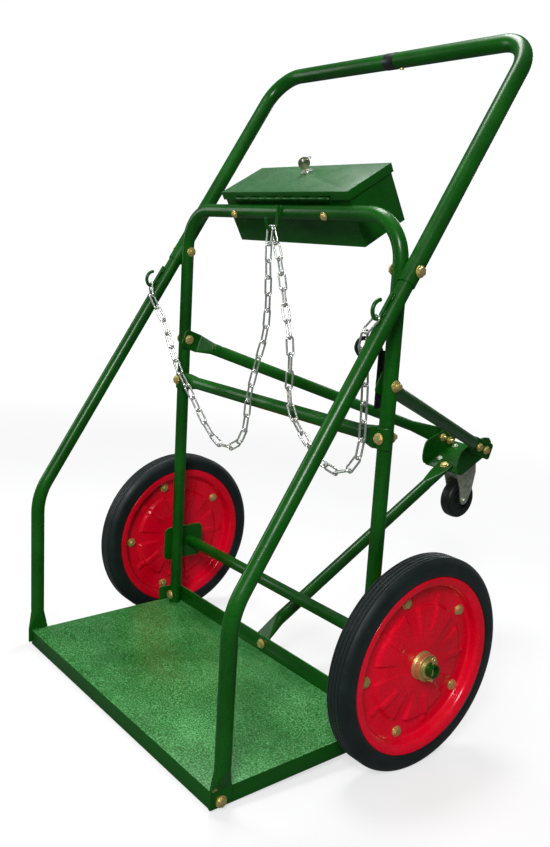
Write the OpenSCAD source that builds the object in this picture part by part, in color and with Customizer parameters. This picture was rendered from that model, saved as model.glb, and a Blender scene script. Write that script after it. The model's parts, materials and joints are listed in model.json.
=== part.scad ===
// Oxy acetylene torch cart: tubular frame, cylinder platform, tilted toolbox,
// two pneumatic wheels, one swivel caster at the back and two hook-on chains.
// The parts are laid out with the uprights vertical, then the whole cart is leaned
// forward about its axle until the platform lip stands on the ground.

/* [Wheels] */
// outside radius of the big tyres
wheel_r = 200; // [150:5:230]
// tyre width
tyre_w = 50; // [40:1:60]
// distance of each wheel's centre plane from the middle of the cart
wheel_x = 402.5; // [390:0.5:450]
// outer radius of the axle tube
axle_r = 12.5; // [10:0.5:15]
// outer radius of the red rim
rim_r = 167; // [150:1:175]

/* [Platform] */
// half width of the cylinder platform
plat_half = 350; // [300:5:400]
// front edge of the platform
plat_front = -402.5; // [-450:0.5:-350]
// back edge of the platform, at the front face of its upstand
plat_back = -33; // [-60:1:-20]
// height of the platform's top face
plat_top = 57.5; // [40:0.5:80]
// depth of the folded lip
lip_h = 32.5; // [20:0.5:50]
// height of the back upstand above the top face
upstand_h = 37; // [20:1:60]

/* [Frame tubes] */
// x of the hoop legs
leg_x = 326; // [300:1:340]
// y of the hoop legs
leg_y = -46.5; // [-60:0.5:-40]
// radius of the hoop tube
leg_r = 13.5; // [11:0.5:16]
// height of the hoop's top bar
hoop_z = 984; // [900:1:1050]
// x of the side tubes
side_x = 355.5; // [340:0.5:370]
// radius of the lower side tube
side_r = 14; // [12:0.5:16]
// radius of the upper handle tube that sleeves over it
handle_r = 16; // [14:0.5:18]
// y of the handle bar
handle_y = 215; // [180:1:260]
// height of the handle bar
handle_z = 1300.5; // [1200:0.5:1400]
// height of the crossbar
cross_z = 603; // [550:1:650]

/* [Toolbox] */
// half width of the toolbox
box_half = 190; // [160:1:210]
// depth of the toolbox, front to back
box_d = 111.5; // [90:0.5:140]
// height of the toolbox wall below the lid's lower edge
box_low = 94.3; // [70:0.1:120]
// tilt of the toolbox
box_tilt = 29.5; // [0:0.5:45]

/* [Caster] */
// caster wheel radius
caster_r = 48.5; // [35:0.5:60]
// slope of the caster bracket's web
web_tilt = 25; // [0:1:40]

/* [Chains] */
// radius of the chain wire
wire_r = 2; // [1.5:0.1:2.5]
// radius of a link's rounded end, to the middle of the wire
link_end_r = 6.5; // [5:0.5:8]
// inside length of a chain link
link_pitch = 33; // [28:0.1:36]

/* [Hidden] */
$fn = 96;

// running and assembly gaps
run_gap = 0.05;
gap = 0.2;
sheet = 3;
leg_gap = 0.3;
tube_wall = 2;
// lean about the axle that sets the platform lip on the ground
lean = 3.59;
axle_z = wheel_r;
// crown of the tyres' tread, past their nominal radius
tread_crown = 1;
// from the axle back to the middle of the cart's length, under which the origin lies
middle_y = 104;

// upper direction of the side tubes, set by the bend and the handle
bend_z = 362.6;
side_y = -387;
side_run = [handle_y - side_y, handle_z - bend_z];
side_len = norm(side_run);
side_tilt = atan2(side_run[0], side_run[1]);
// height where the sloping side tube crosses the hoop leg
cross_bolt_z = bend_z + (leg_y - side_y) / tan(side_tilt);
// height where the handle tube's sleeve ends, below that bolt
sleeve_drop = 26;
lower_bend_r = 130;
handle_bend_r = 70;
foot_z = 40;
flat_t = 5;
flat_w = 42;
// step where a tube narrows to its flattened end
neck = 0.6;

// bolts
bolt_r = 5;
head_r = 8.6;
head_h = 6;
flange_t = 1.8;
small_bolt_r = 4;
small_head_r = 6;
small_head_h = 5;

// caster frame: origin where the swivel axis meets the underside of the web
web_front = [512, 399];
web_len = 114;
web_t = 4;
web_half = 58;
caster_s = 64;
caster_o = [0, web_front[0] + caster_s * cos(web_tilt), web_front[1] + caster_s * sin(web_tilt)];
caster_trail = 40;
caster_drop = 100.5;
plate_x = 38;
plate_s = 31;

// upper struts
strut_r = 13.5;
strut_leg_z = 697;
strut_end = [577, 460.5];
strut_bolt_gap = 29;
strut_foot_z = 76;

// toolbox frame: origin at the front, where the lid's lower edge meets the box
box_o = [0, -44.7, 1008.65];
box_rim = 13;
box_t = 1.5;
box_bolt_x = 138;
lid_top = 16.5;
lid_half = 192.5;
lid_front = -4;
hinge_u = -7.5;
hinge_m = 4;
hinge_half = 140;
knuckle_r = 3;
leaf_t = 1.2;
lock_x = -12;
lock_u = 86;
key_turn = 55;

//////////////////////////////// helpers

module lean_cart() {
    translate([0, -middle_y, axle_z + tread_crown]) rotate([lean, 0, 0])
        translate([0, 0, -axle_z]) children();
}

module along_x() {
    rotate([0, 90, 0]) children();
}

// cylinder whose axis runs along x from x0 to x1
module x_rod(x0, x1, r, y = 0, z = 0) {
    translate([x0, y, z]) along_x() cylinder(h = x1 - x0, r = r);
}

// cylinder whose axis runs along y from y0 to y1
module y_rod(y0, y1, r, x = 0, z = 0) {
    translate([x, y0, z]) rotate([-90, 0, 0]) cylinder(h = y1 - y0, r = r);
}

// washer-faced hexagon bolt: the head's seat is at the origin and the head stands on +z
module hex_bolt(shank, r = bolt_r, hr = head_r, hh = head_h) {
    cylinder(h = flange_t, r = hr + 1.9);
    translate([0, 0, flange_t]) cylinder(h = hh - flange_t, r = hr, $fn = 6);
    translate([0, 0, -shank]) cylinder(h = shank, r = r);
}

// hexagon nut with a bore, seated on the origin
module hex_nut(r = bolt_r, hr = head_r, hh = head_h) {
    difference() {
        union() {
            cylinder(h = flange_t, r = hr + 1.9);
            translate([0, 0, flange_t]) cylinder(h = hh - flange_t, r = hr, $fn = 6);
        }
        translate([0, 0, -1]) cylinder(h = hh + 2, r = r + 0.06);
    }
}

// quarter bend of a round bar in the x-z plane: it arrives along +z at the origin
// and leaves along -x
module quarter_bend(r, bend_r) {
    translate([-bend_r, 0, 0])
    rotate([90, 0, 0])
    rotate_extrude(angle = 90)
    translate([bend_r, 0]) circle(r = r);
}

// bend in the y-z plane about the origin, counted from +y towards +z, of the bar or
// tube whose round section is given as children
module yz_bend(bend_r, from, sweep) {
    rotate([90, 0, 90]) rotate([0, 0, from])
        rotate_extrude(angle = sweep) translate([bend_r, 0]) children();
}

// cross-section of a tube
module ring(r, wall) {
    difference() {
        circle(r = r);
        circle(r = r - wall);
    }
}

// hair-thin collars that tie a bend to the straight piece next to it, and the slit between
// the two that they bridge
skin = 0.05;
slit = 0.2;

module tube_collar(r, wall) {
    translate([0, 0, -1.5]) linear_extrude(3) ring(r + skin, wall + 2 * skin);
}

module rod_collar(r) {
    translate([0, 0, -0.5]) cylinder(h = 1, r = r + skin);
}

//////////////////////////////// platform

module platform_shape() {
    depth = plat_back - plat_front + sheet;
    corner_z = plat_top - lip_h;
    difference() {
        union() {
            translate([-plat_half, plat_front, corner_z])
                cube([2 * plat_half, depth, lip_h]);
            translate([-plat_half, plat_back, plat_top])
                cube([2 * plat_half, sheet, upstand_h]);
            for (sx = [-1, 1])
                translate([sx * plat_half - (sx > 0 ? sheet : 0), plat_back - 45, plat_top])
                    cube([sheet, 45 + sheet, upstand_h - 5]);
        }
        translate([-plat_half + sheet, plat_front + sheet, corner_z - 1])
            cube([2 * (plat_half - sheet), depth - sheet + 1, lip_h + 1 - sheet]);
        for (sx = [-1, 1]) {
            y_rod(plat_back - 5, plat_back + 10, bolt_r + gap, sx * leg_x, strut_foot_z);
            translate([sx * (plat_half - sheet / 2), side_y, foot_z])
                x_rod(-5, 5, bolt_r + gap);
        }
        y_rod(plat_back - 5, plat_back + 10, bolt_r + gap, 0, strut_foot_z);
        // holes that the hoop's legs pass through
        for (sx = [-1, 1]) translate([sx * leg_x, leg_y, plat_top - sheet - 1])
            cylinder(h = sheet + 2, r = leg_r + leg_gap);
    }
}

//////////////////////////////// rear hoop and crossbar

hoop_bend_r = 80;
// the legs end just under the platform's sheet
leg_foot = plat_top - sheet - 2;

module hoop_bar(r, extra) {
    leg_top = hoop_z - hoop_bend_r;
    for (sx = [-1, 1]) {
        translate([sx * leg_x, leg_y, leg_foot - extra])
            cylinder(h = leg_top - leg_foot + extra, r = r);
        translate([0, leg_y, leg_top]) mirror([sx < 0 ? 1 : 0, 0, 0]) translate([leg_x, 0, 0])
            quarter_bend(r, hoop_bend_r);
    }
    x_rod(-leg_x + hoop_bend_r, leg_x - hoop_bend_r, r, leg_y, hoop_z);
}

module rear_hoop_shape() {
    difference() {
        hoop_bar(leg_r, 0);
        hoop_bar(leg_r - tube_wall, 1);
        for (sx = [-1, 1]) {
            y_rod(leg_y - 20, leg_y + 20, bolt_r + gap, sx * leg_x, strut_foot_z);
            y_rod(leg_y - 20, leg_y + 20, bolt_r + gap, sx * leg_x, cross_z);
            for (z = [strut_leg_z, cross_bolt_z])
                x_rod(sx * leg_x - 20, sx * leg_x + 20, bolt_r + gap, leg_y, z);
            translate([sx * box_bolt_x, leg_y, hoop_z]) rotate([90 + box_tilt, 0, 0])
                translate([0, 0, -20]) cylinder(h = 40, r = small_bolt_r + gap);
        }
    }
}

saddle_t = 3;
saddle_h = 41;

module crossbar_shape() {
    inner = leg_x - leg_r;
    difference() {
        union() {
            x_rod(-inner + 45, inner - 45, leg_r, leg_y, cross_z);
            for (sx = [-1, 1]) {
                hull() {
                    translate([sx * (inner - 45), leg_y, cross_z]) along_x()
                        cylinder(h = 1, r = leg_r, center = true, $fn = 32);
                    translate([sx * (inner - 1), leg_y - 9, cross_z])
                        cube([2, 15, saddle_h], center = true);
                }
                translate([sx * leg_x, leg_y, cross_z - saddle_h / 2])
                    cylinder(h = saddle_h, r = leg_r + saddle_t);
            }
        }
        for (sx = [-1, 1]) {
            translate([sx * leg_x, leg_y, cross_z - saddle_h])
                cylinder(h = 2 * saddle_h, r = leg_r + 0.1);
            translate([sx * leg_x - 30, leg_y - 1.5, cross_z - saddle_h])
                cube([60, 40, 2 * saddle_h]);
            y_rod(leg_y - 30, leg_y + 30, bolt_r + gap, sx * leg_x, cross_z);
        }
    }
}

//////////////////////////////// side tubes and handle

// places its children at distance d up the sloping part of a side tube, with z along it
module on_slope(d) {
    translate([0, side_y + d * sin(side_tilt), bend_z + d * cos(side_tilt)])
        rotate([-side_tilt, 0, 0]) children();
}

bend_cut = lower_bend_r * tan(side_tilt / 2);
lower_top = (cross_bolt_z - bend_z) / cos(side_tilt) + 45;
sleeve_start = (cross_bolt_z - bend_z) / cos(side_tilt) - sleeve_drop;
lower_start = 100;

// right-hand lower side tube, with a flattened foot bolted to the platform's side lip
module side_tube_shape() {
    foot_x = plat_half + gap / 2 + flat_t / 2 - side_x;
    translate([side_x, 0, 0]) difference() {
        union() {
            translate([0, side_y, lower_start]) linear_extrude(bend_z - bend_cut - slit - lower_start)
                ring(side_r, tube_wall);
            translate([0, side_y, bend_z - bend_cut]) tube_collar(side_r, tube_wall);
            translate([0, side_y + lower_bend_r, bend_z - bend_cut])
                yz_bend(lower_bend_r, 180 - side_tilt, side_tilt) ring(side_r, tube_wall);
            on_slope(bend_cut) {
                tube_collar(side_r, tube_wall);
                translate([0, 0, slit]) linear_extrude(lower_top - bend_cut - slit) ring(side_r, tube_wall);
            }
            hull() {
                translate([0, side_y, lower_start]) cylinder(h = 0.5, r = side_r - neck, $fn = 32);
                translate([foot_x, side_y, lower_start - 38.5])
                    cube([flat_t - neck, flat_w - neck, 1], center = true);
            }
            translate([foot_x - flat_t / 2, side_y - flat_w / 2, foot_z - 10]) cube([flat_t, flat_w, 32.5]);
        }
        x_rod(-20, 20, bolt_r + gap, side_y, foot_z);
        x_rod(-30, 30, bolt_r + gap, leg_y, cross_bolt_z);
    }
}

// right-hand handle half, x_end is where its bar stops near the middle
module handle_shape(x_end, screw) {
    wall = handle_r - side_r - run_gap;
    translate([side_x, 0, 0]) difference() {
        union() {
            on_slope(sleeve_start) linear_extrude(side_len - handle_bend_r - slit - sleeve_start)
                ring(handle_r, wall);
            on_slope(side_len - handle_bend_r) {
                tube_collar(handle_r, wall);
                translate([-handle_bend_r, 0, 0]) rotate([90, 0, 0])
                    rotate_extrude(angle = 90) translate([handle_bend_r, 0]) ring(handle_r, wall);
            }
            on_slope(side_len) translate([-handle_bend_r, 0, 0]) rotate([0, -90, 0]) {
                tube_collar(handle_r, wall);
                translate([0, 0, slit]) linear_extrude(side_x - handle_bend_r - slit - x_end)
                    ring(handle_r, wall);
            }
        }
        x_rod(-30, 30, bolt_r + gap, leg_y, cross_bolt_z);
        if (screw) translate([x_end + screw_in - side_x, handle_y, handle_z - 30])
            cylinder(h = 30, r = 2.1);
    }
}

//////////////////////////////// axle

bracket_t = 4;
bracket_x = leg_x + leg_r + 0.1;
hub_half = 33;
axle_half = wheel_x + hub_half + 14;

module axle_tube_shape() {
    difference() {
        x_rod(-axle_half, axle_half, axle_r, 0, axle_z);
        x_rod(-axle_half - 1, axle_half + 1, axle_r - 3, 0, axle_z);
        for (sx = [-1, 1])
            translate([sx * (axle_half - 6), 0, axle_z - 20]) cylinder(h = 40, r = 2.3);
    }
}

module rounded_plate(y0, y1, z0, z1, t, r) {
    rotate([90, 0, 90]) linear_extrude(t) union() {
        translate([y0 + r, z0]) square([y1 - y0 - 2 * r, z1 - z0]);
        translate([y0, z0 + r]) square([y1 - y0, z1 - z0 - 2 * r]);
        for (y = [y0 + r, y1 - r]) for (z = [z0 + r, z1 - r]) translate([y, z]) circle(r = r);
    }
}

module axle_bracket_shape() {
    difference() {
        translate([bracket_x, 0, 0]) rounded_plate(-72, 34, 160, 240, bracket_t, 14);
        x_rod(bracket_x - 1, bracket_x + bracket_t + 1, axle_r + 0.1, 0, axle_z);
    }
}

module axle_spacer_shape() {
    start = bracket_x + bracket_t + gap;
    difference() {
        x_rod(start, wheel_x - hub_half - 0.4, axle_r + 4, 0, axle_z);
        x_rod(start - 1, wheel_x, axle_r + 0.1, 0, axle_z);
    }
}

module axle_washer_shape() {
    start = wheel_x + hub_half + 0.4;
    difference() {
        x_rod(start, start + 2.5, axle_r + 6, 0, axle_z);
        x_rod(start - 1, start + 4, axle_r + 0.1, 0, axle_z);
    }
}

// split pin through the axle's end: an eye above, two bent legs below
module split_pin_shape() {
    pin_r = 1.9;
    x = axle_half - 6;
    translate([x, 0, axle_z - axle_r - 8]) cylinder(h = 2 * axle_r + 14, r = pin_r);
    translate([x, 0, axle_z + axle_r + 8.5]) rotate([0, 90, 0])
        rotate_extrude() translate([4, 0]) circle(r = 1.4);
    translate([x, 0, axle_z - axle_r - 8]) {
        sphere(r = pin_r);
        for (sy = [-1, 1]) rotate([sy * 62, 0, 0]) cylinder(h = 9, r = 1.3);
    }
}

//////////////////////////////// big wheels, modelled about the x axis with the outside at +x

land_r = 130;
rim_half_w = 23.5;
sheet_w = 2.5;
hub_tube_r = 21;
// the hub's flanges sit on the rim at hub_seat; its end cups reach out to hub_cup_end
hub_seat = 14.6;
hub_cup_end = 30.6;
hub_cup_r = 25;
hub_flange_r = 26.6;

// pressed rim half: dished disc, bolt land, wall and rolled lip
module rim_half_profile() {
    polygon([
        [hub_tube_r + gap, 12], [34, 12], [54, 10.5], [112, 0.05], [143.5, 0.05], [147.5, 4], [150, 16],
        [158, 20.5], [rim_r - 2, 21], [rim_r, 22.2], [rim_r, rim_half_w],
        [rim_r - 2, rim_half_w + 0.6], [157, 23.4],
        [147, 18.5], [144.6, 5.5], [142.3, 0.05 + sheet_w], [113, 0.05 + sheet_w],
        [55, 10.5 + sheet_w], [35, 12 + sheet_w], [hub_tube_r + gap, 12 + sheet_w]
    ]);
}

rib_count = 10;

module rim_half() {
    along_x() difference() {
        union() {
            rotate_extrude() rim_half_profile();
            for (i = [0 : rib_count - 1]) rotate([0, 0, (i + 0.5) * 360 / rib_count])
                translate([62, 0, 4.5]) linear_extrude(8.2)
                    polygon([[0, -9], [44, -19], [44, 19], [0, 9]]);
        }
        translate([0, 0, -5]) cylinder(h = 40, r = hub_tube_r + gap);
        // hollow behind the pressed pads
        translate([0, 0, -0.1]) rotate_extrude()
            polygon([[30, 0], [112, 0], [110, 0.6], [56, 10.2], [30, 12]]);
        for (i = [0 : 4]) rotate([0, 0, i * 72 + bolt_phase])
            translate([land_r, 0, -5]) cylinder(h = 20, r = bolt_r + gap);
    }
}

// angle of the first wheel bolt, chosen to match how the cart stands
bolt_phase = 199;

module tyre_profile() {
    half = tyre_w / 2;
    difference() {
        union() {
            translate([153, -17]) square([20, 34]);
            translate([176, 0]) circle(r = half);
            translate([170, -half]) square([14, tyre_w]);
            translate([184, -15]) square([wheel_r - 184, 30]);
            translate([184, -15]) circle(r = 10);
            translate([184, 15]) circle(r = 10);
        }
        // air chamber, open inwards between the beads
        translate([176, 0]) circle(r = 14);
        translate([140, -10]) square([36, 20]);
        // circumferential tread grooves
        for (t = [-12, -4, 4, 12]) translate([wheel_r - 2.5, t - 1]) square([5, 2]);
        // space for the rim halves
        for (s = [-1, 1]) translate([140, s * 22 - 4]) square([29, 8]);
        translate([wheel_r + tread_crown, -30]) square([30, 60]);
    }
}

module tyre_shape() {
    along_x() rotate_extrude() tyre_profile();
}

module hub_shape() {
    along_x() difference() {
        union() {
            translate([0, 0, -hub_half]) cylinder(h = 2 * hub_half, r = hub_tube_r);
            for (s = [-1, 1]) {
                translate([0, 0, s > 0 ? hub_seat : -hub_seat - 3]) cylinder(h = 3, r = hub_flange_r);
                translate([0, 0, s > 0 ? hub_seat : -hub_cup_end])
                    cylinder(h = hub_cup_end - hub_seat, r = hub_cup_r);
            }
        }
        // open end of each cup, around the inner sleeve
        for (s = [-1, 1]) translate([0, 0, s > 0 ? hub_cup_end - 6 : -hub_half - 1]) rotate_extrude()
            translate([axle_r + 3.5, 0]) square([hub_cup_r - axle_r - 5, hub_half - hub_cup_end + 7]);
        translate([0, 0, -hub_half - 1]) cylinder(h = 2 * hub_half + 2, r = axle_r + run_gap);
    }
}

module wheel_fasteners(bolts) {
    for (i = [0 : 4]) rotate([i * 72 + bolt_phase, 0, 0]) translate([0, 0, -land_r])
        if (bolts) translate([sheet_w + 0.15, 0, 0]) along_x() hex_bolt(14);
        else translate([-sheet_w - 0.15, 0, 0]) rotate([0, -90, 0]) hex_nut();
}

module on_wheel(side) {
    translate([side * wheel_x, 0, axle_z]) mirror([side < 0 ? 1 : 0, 0, 0]) children();
}

//////////////////////////////// struts

// flat lug in a y-z plane, thickness along x, rounded at its far end
module lug(x0, y, z, tilt, reach, back, w) {
    translate([x0, y, z]) rotate([tilt, 0, 0]) {
        translate([0, -back, -w / 2]) cube([flat_t, reach + back - 8, w]);
        translate([0, -back, -w / 2 + 8]) cube([flat_t, reach + back, w - 16]);
        for (s = [-1, 1]) translate([0, reach - 8, s * (w / 2 - 8)]) along_x() cylinder(h = flat_t, r = 8);
    }
}

strut_dy = strut_end[0] - leg_y;
strut_dz = strut_end[1] - strut_leg_z;
strut_tilt = atan2(strut_dz, strut_dy);
strut_x0 = leg_x - leg_r - 0.1 - flat_t;
strut_x1 = web_half + 0.1;

// the two bolts at the strut's lower end, at x
module at_strut_bolts(x) {
    translate([0, strut_end[0], strut_end[1]]) rotate([strut_tilt, 0, 0])
        for (s = [-0.5, 0.5]) translate([x, s * strut_bolt_gap, 0]) children();
}

module strut_upper_shape() {
    a = [strut_x0 + flat_t / 2, leg_y, strut_leg_z];
    b = [strut_x1 + flat_t / 2, strut_end[0], strut_end[1]];
    dir = (b - a) / norm(b - a);
    // ends of the round tube, set in from the lugs
    p = a + dir * 60 + [-2, 0, 0];
    q = b - dir * 100 + [2, 0, 0];
    axis = (q - p) / norm(q - p);
    yaw = atan2(axis[1], axis[0]);
    fall = acos(axis[2]);
    difference() {
        union() {
            translate(p) rotate([0, fall, yaw]) cylinder(h = norm(q - p), r = strut_r);
            hull() {
                translate(p + axis) rotate([0, fall, yaw]) cylinder(h = 0.5, r = strut_r - neck, $fn = 32);
                translate([strut_x0, leg_y, strut_leg_z]) rotate([strut_tilt, 0, 0])
                    translate([neck / 2, 27, (neck - flat_w) / 2]) cube([flat_t - neck, 1, flat_w - neck]);
            }
            hull() {
                translate(q - axis * 1.5) rotate([0, fall, yaw])
                    cylinder(h = 0.5, r = strut_r - neck, $fn = 32);
                translate([strut_x1, strut_end[0], strut_end[1]]) rotate([strut_tilt, 0, 0])
                    translate([neck / 2, -40, (neck - flat_w) / 2]) cube([flat_t - neck, 1, flat_w - neck]);
            }
            strut_leg_lug();
            lug(strut_x1, strut_end[0], strut_end[1], strut_tilt, 38, 42, flat_w);
        }
        translate(p - axis * 2) rotate([0, fall, yaw])
            cylinder(h = norm(q - p) + 4, r = strut_r - tube_wall);
        translate(p + axis * 25) cylinder(h = 30, r = 3);
        x_rod(strut_x0 - 20, strut_x0 + 30, bolt_r + gap, leg_y, strut_leg_z);
        at_strut_bolts(strut_x1) x_rod(-20, 20, bolt_r + gap);
    }
}

// rounded lug on the inner face of the hoop leg
module strut_leg_lug() {
    front = 15;
    corner = 8;
    translate([strut_x0, leg_y, strut_leg_z]) rotate([strut_tilt, 0, 0]) {
        translate([0, corner - front, -flat_w / 2]) cube([flat_t, 29 + front - corner, flat_w]);
        translate([0, -front, corner - flat_w / 2]) cube([flat_t, 29 + front, flat_w - 2 * corner]);
        for (s = [-1, 1]) translate([0, corner - front, s * (flat_w / 2 - corner)])
            along_x() cylinder(h = flat_t, r = corner);
    }
}

// lower strut: foot on the upstand's back, head on top of the caster bracket's web
head_s = 8;
lower_head = [web_front[0] + head_s * cos(web_tilt), web_front[1] + head_s * sin(web_tilt)];
lower_back_y = plat_back + sheet + 0.1;

module strut_lower_shape() {
    top_y = lower_head[0] - (web_t + flat_t / 2) * sin(web_tilt);
    top_z = lower_head[1] + (web_t + flat_t / 2 + 0.1) * cos(web_tilt);
    p = [0, lower_back_y + 42, strut_foot_z + 46];
    q = [0, top_y - 62, top_z - 38];
    dir = (q - p) / norm(q - p);
    rise = atan2(dir[2], dir[1]);
    difference() {
        union() {
            translate(p) rotate([rise - 90, 0, 0]) cylinder(h = norm(q - p), r = strut_r);
            hull() {
                translate(p + dir) rotate([rise - 90, 0, 0]) cylinder(h = 0.5, r = strut_r - neck, $fn = 32);
                translate([(neck - flat_w) / 2, lower_back_y + neck / 2, strut_foot_z + 16])
                    cube([flat_w - neck, flat_t - neck, 1]);
            }
            translate([-flat_w / 2, lower_back_y, strut_foot_z - 12]) cube([flat_w, flat_t, 30]);
            hull() {
                translate(q - dir * 1.5) rotate([rise - 90, 0, 0])
                    cylinder(h = 0.5, r = strut_r - neck, $fn = 32);
                translate([0, top_y, top_z]) rotate([web_tilt, 0, 0])
                    translate([0, -21, 0]) cube([flat_w + neck, 1, flat_t + neck], center = true);
            }
            translate([0, top_y, top_z]) rotate([web_tilt, 0, 0]) {
                translate([-flat_w / 2, -23, -flat_t / 2]) cube([flat_w, 23, flat_t]);
                translate([0, 0, -flat_t / 2]) cylinder(h = flat_t, r = flat_w / 2);
            }
        }
        translate(p - dir * 2) rotate([rise - 90, 0, 0])
            cylinder(h = norm(q - p) + 4, r = strut_r - tube_wall);
        translate(p + dir * 30) rotate([180, 0, 0]) cylinder(h = 30, r = 3);
        y_rod(lower_back_y - 10, lower_back_y + 20, bolt_r + gap, 0, strut_foot_z);
        translate([0, top_y, top_z]) rotate([web_tilt, 0, 0]) translate([0, 0, -15])
            cylinder(h = 30, r = bolt_r + gap);
    }
}

//////////////////////////////// caster

// children are drawn with z up along the swivel axis and y up the web's slope,
// the underside of the web being z = 0
module on_caster() {
    translate(caster_o) rotate([web_tilt, 0, 0]) children();
}

module caster_bracket_shape() {
    s0 = -caster_s;
    difference() {
        union() {
            on_caster() translate([-web_half + neck, s0, 0]) cube([2 * (web_half - neck), web_len, web_t]);
            for (sx = [-1, 1]) translate([sx > 0 ? web_half - web_t : -web_half, 0, 0])
                rotate([90, 0, 90]) linear_extrude(web_t) polygon(flange_outline);
        }
        on_caster() {
            for (x = [-plate_x, plate_x]) for (s = [-plate_s, plate_s])
                translate([x, s, -5]) cylinder(h = 20, r = small_bolt_r + gap);
            translate([0, s0 + head_s, -5]) cylinder(h = 20, r = bolt_r + gap);
        }
        at_strut_bolts(0) x_rod(-web_half - 10, web_half + 10, bolt_r + gap);
    }
}

// a point of the web's side view, at distance d up its slope and h square to it
function web_point(d, h) = web_front
    + [d * cos(web_tilt) - h * sin(web_tilt), d * sin(web_tilt) + h * cos(web_tilt)];

// side view of a bracket flange, in y and z, its lower edge buried in the web
flange_outline = [
    web_point(2, 1.5), [503, 405], [498, 414], [496.5, 425], [498, 440], [501, 452], [506, 460], [514, 465],
    [560, 481.5], [585, 486], [604, 484], [613, 474], [616, 460],
    web_point(web_len - 6, 1.5)
];

module caster_plate_shape() {
    on_caster() difference() {
        union() {
            translate([-51, -45, -3.6]) cube([102, 90, 3.5]);
            translate([0, 0, -9]) cylinder(h = 6, r = 30);
        }
        for (x = [-plate_x, plate_x]) for (s = [-plate_s, plate_s])
            translate([x, s, -10]) cylinder(h = 20, r = small_bolt_r + gap);
        translate([0, 0, -10]) cylinder(h = 20, r = 6.5);
    }
}

// kingpin riveted in the top plate, with the lower race washer that carries the fork
module caster_kingpin_shape() {
    on_caster() {
        translate([0, 0, -22]) cylinder(h = 21.8, r = 6.4);
        translate([0, 0, -22]) cylinder(h = 6, r = 12);
    }
}

fork_in = 19.7;
fork_t = 3;

module caster_fork_shape() {
    on_caster() difference() {
        union() {
            translate([0, 0, -15]) cylinder(h = 5.7, r = 36);
            translate([-fork_in - fork_t, -36, -14.5]) cube([2 * (fork_in + fork_t), 66, 3]);
            for (sx = [-1, 1]) translate([sx > 0 ? fork_in : -fork_in - fork_t, 0, 0])
                rotate([90, 0, 90]) linear_extrude(fork_t) polygon([
                    [-40, -12], [30, -12], [31, -22], [22, -52], [-6, -90], [-26, -107], [-34, -112],
                    [-44, -112], [-51, -106], [-52, -98], [-44, -60], [-42, -30], [-46, -20]
                ]);
        }
        translate([0, 0, -30]) cylinder(h = 40, r = 6.46);
        translate([0, 0, -11.2]) rotate_extrude() translate([31, 1.2]) square([2, 4]);
        translate([-40, -caster_trail, -caster_drop]) x_rod(0, 80, small_bolt_r + gap);
    }
}

module caster_axle_shape() {
    on_caster() translate([0, -caster_trail, -caster_drop]) {
        translate([fork_in + fork_t + 0.1, 0, 0]) along_x()
            hex_bolt(2 * (fork_in + fork_t) + 10, small_bolt_r, small_head_r, small_head_h);
        x_rod(-fork_in - fork_t - 7, -fork_in - fork_t - 0.2, 7.5);
    }
}

module caster_wheel_at() {
    on_caster() translate([0, -caster_trail, -caster_drop]) children();
}

module caster_core_shape() {
    caster_wheel_at() difference() {
        union() {
            x_rod(-13, 13, 33);
            x_rod(-fork_in + 0.3, fork_in - 0.3, 11);
        }
        for (sx = [-1, 1]) translate([sx * 13, 0, 0]) along_x() rotate_extrude()
            polygon([[15, -6], [29, -6], [30, 6], [14, 6]]);
        x_rod(-25, 25, small_bolt_r + run_gap);
    }
}

module caster_tyre_shape() {
    caster_wheel_at() along_x() rotate_extrude() polygon([
        [33, -14], [40, -15], [45, -14.4], [47.6, -11], [caster_r, -5], [caster_r, 5], [47.6, 11],
        [45, 14.4], [40, 15], [33, 14]
    ]);
}

//////////////////////////////// toolbox

// children are drawn with y towards the back along the lid's slope and z square to the lid
module on_box() {
    translate(box_o) rotate([box_tilt, 0, 0]) children();
}

module toolbox_body_shape() {
    on_box() difference() {
        union() {
            difference() {
                translate([-box_half, 0, -box_low]) cube([2 * box_half, box_d, box_low + box_rim]);
                translate([-box_half + box_t, box_t, -box_low + box_t])
                    cube([2 * (box_half - box_t), box_d - 2 * box_t, box_low + box_rim]);
            }
            // return flange along the back, which the lock's cam catches
            translate([-box_half, box_d - 9, box_rim - box_t]) cube([2 * box_half, 9, box_t]);
        }
        for (sx = [-1, 1]) translate([sx * box_bolt_x, -5, bar_m]) rotate([-90, 0, 0])
            cylinder(h = 12, r = small_bolt_r + gap);
    }
}

// the hoop bar's height in the toolbox's own frame
bar_m = (hoop_z - box_o[2]) * cos(box_tilt) - (leg_y - box_o[1]) * sin(box_tilt);
bar_u = (hoop_z - box_o[2]) * sin(box_tilt) + (leg_y - box_o[1]) * cos(box_tilt);

knuckles = 11;
knuckle_len = 2 * hinge_half / knuckles;
knuckle_gap = 0.3;

// where knuckle number i starts
function knuckle_x(i) = -hinge_half + i * knuckle_len + knuckle_gap;

module knuckle_run(odd) {
    for (i = [0 : knuckles - 1]) if ((i % 2 == 1) == odd) translate([knuckle_x(i), 0, 0])
        x_rod(0, knuckle_len - 2 * knuckle_gap, knuckle_r, hinge_u, hinge_m);
}

module toolbox_hinge_leaf_shape() {
    on_box() difference() {
        union() {
            knuckle_run(false);
            for (i = [0 : 2 : knuckles - 1]) translate([knuckle_x(i), hinge_u, hinge_m - knuckle_r])
                cube([knuckle_len - 2 * knuckle_gap, -hinge_u - 0.1, leaf_t]);
            translate([-hinge_half, -leaf_t - 0.1, -12]) cube([2 * hinge_half, leaf_t, 14.2]);
        }
        x_rod(-hinge_half - 1, hinge_half + 1, 1.5 + run_gap, hinge_u, hinge_m);
    }
}

module hinge_pin_shape() {
    on_box() x_rod(-hinge_half - 1.5, hinge_half + 1.5, 1.5, hinge_u, hinge_m);
}

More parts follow.
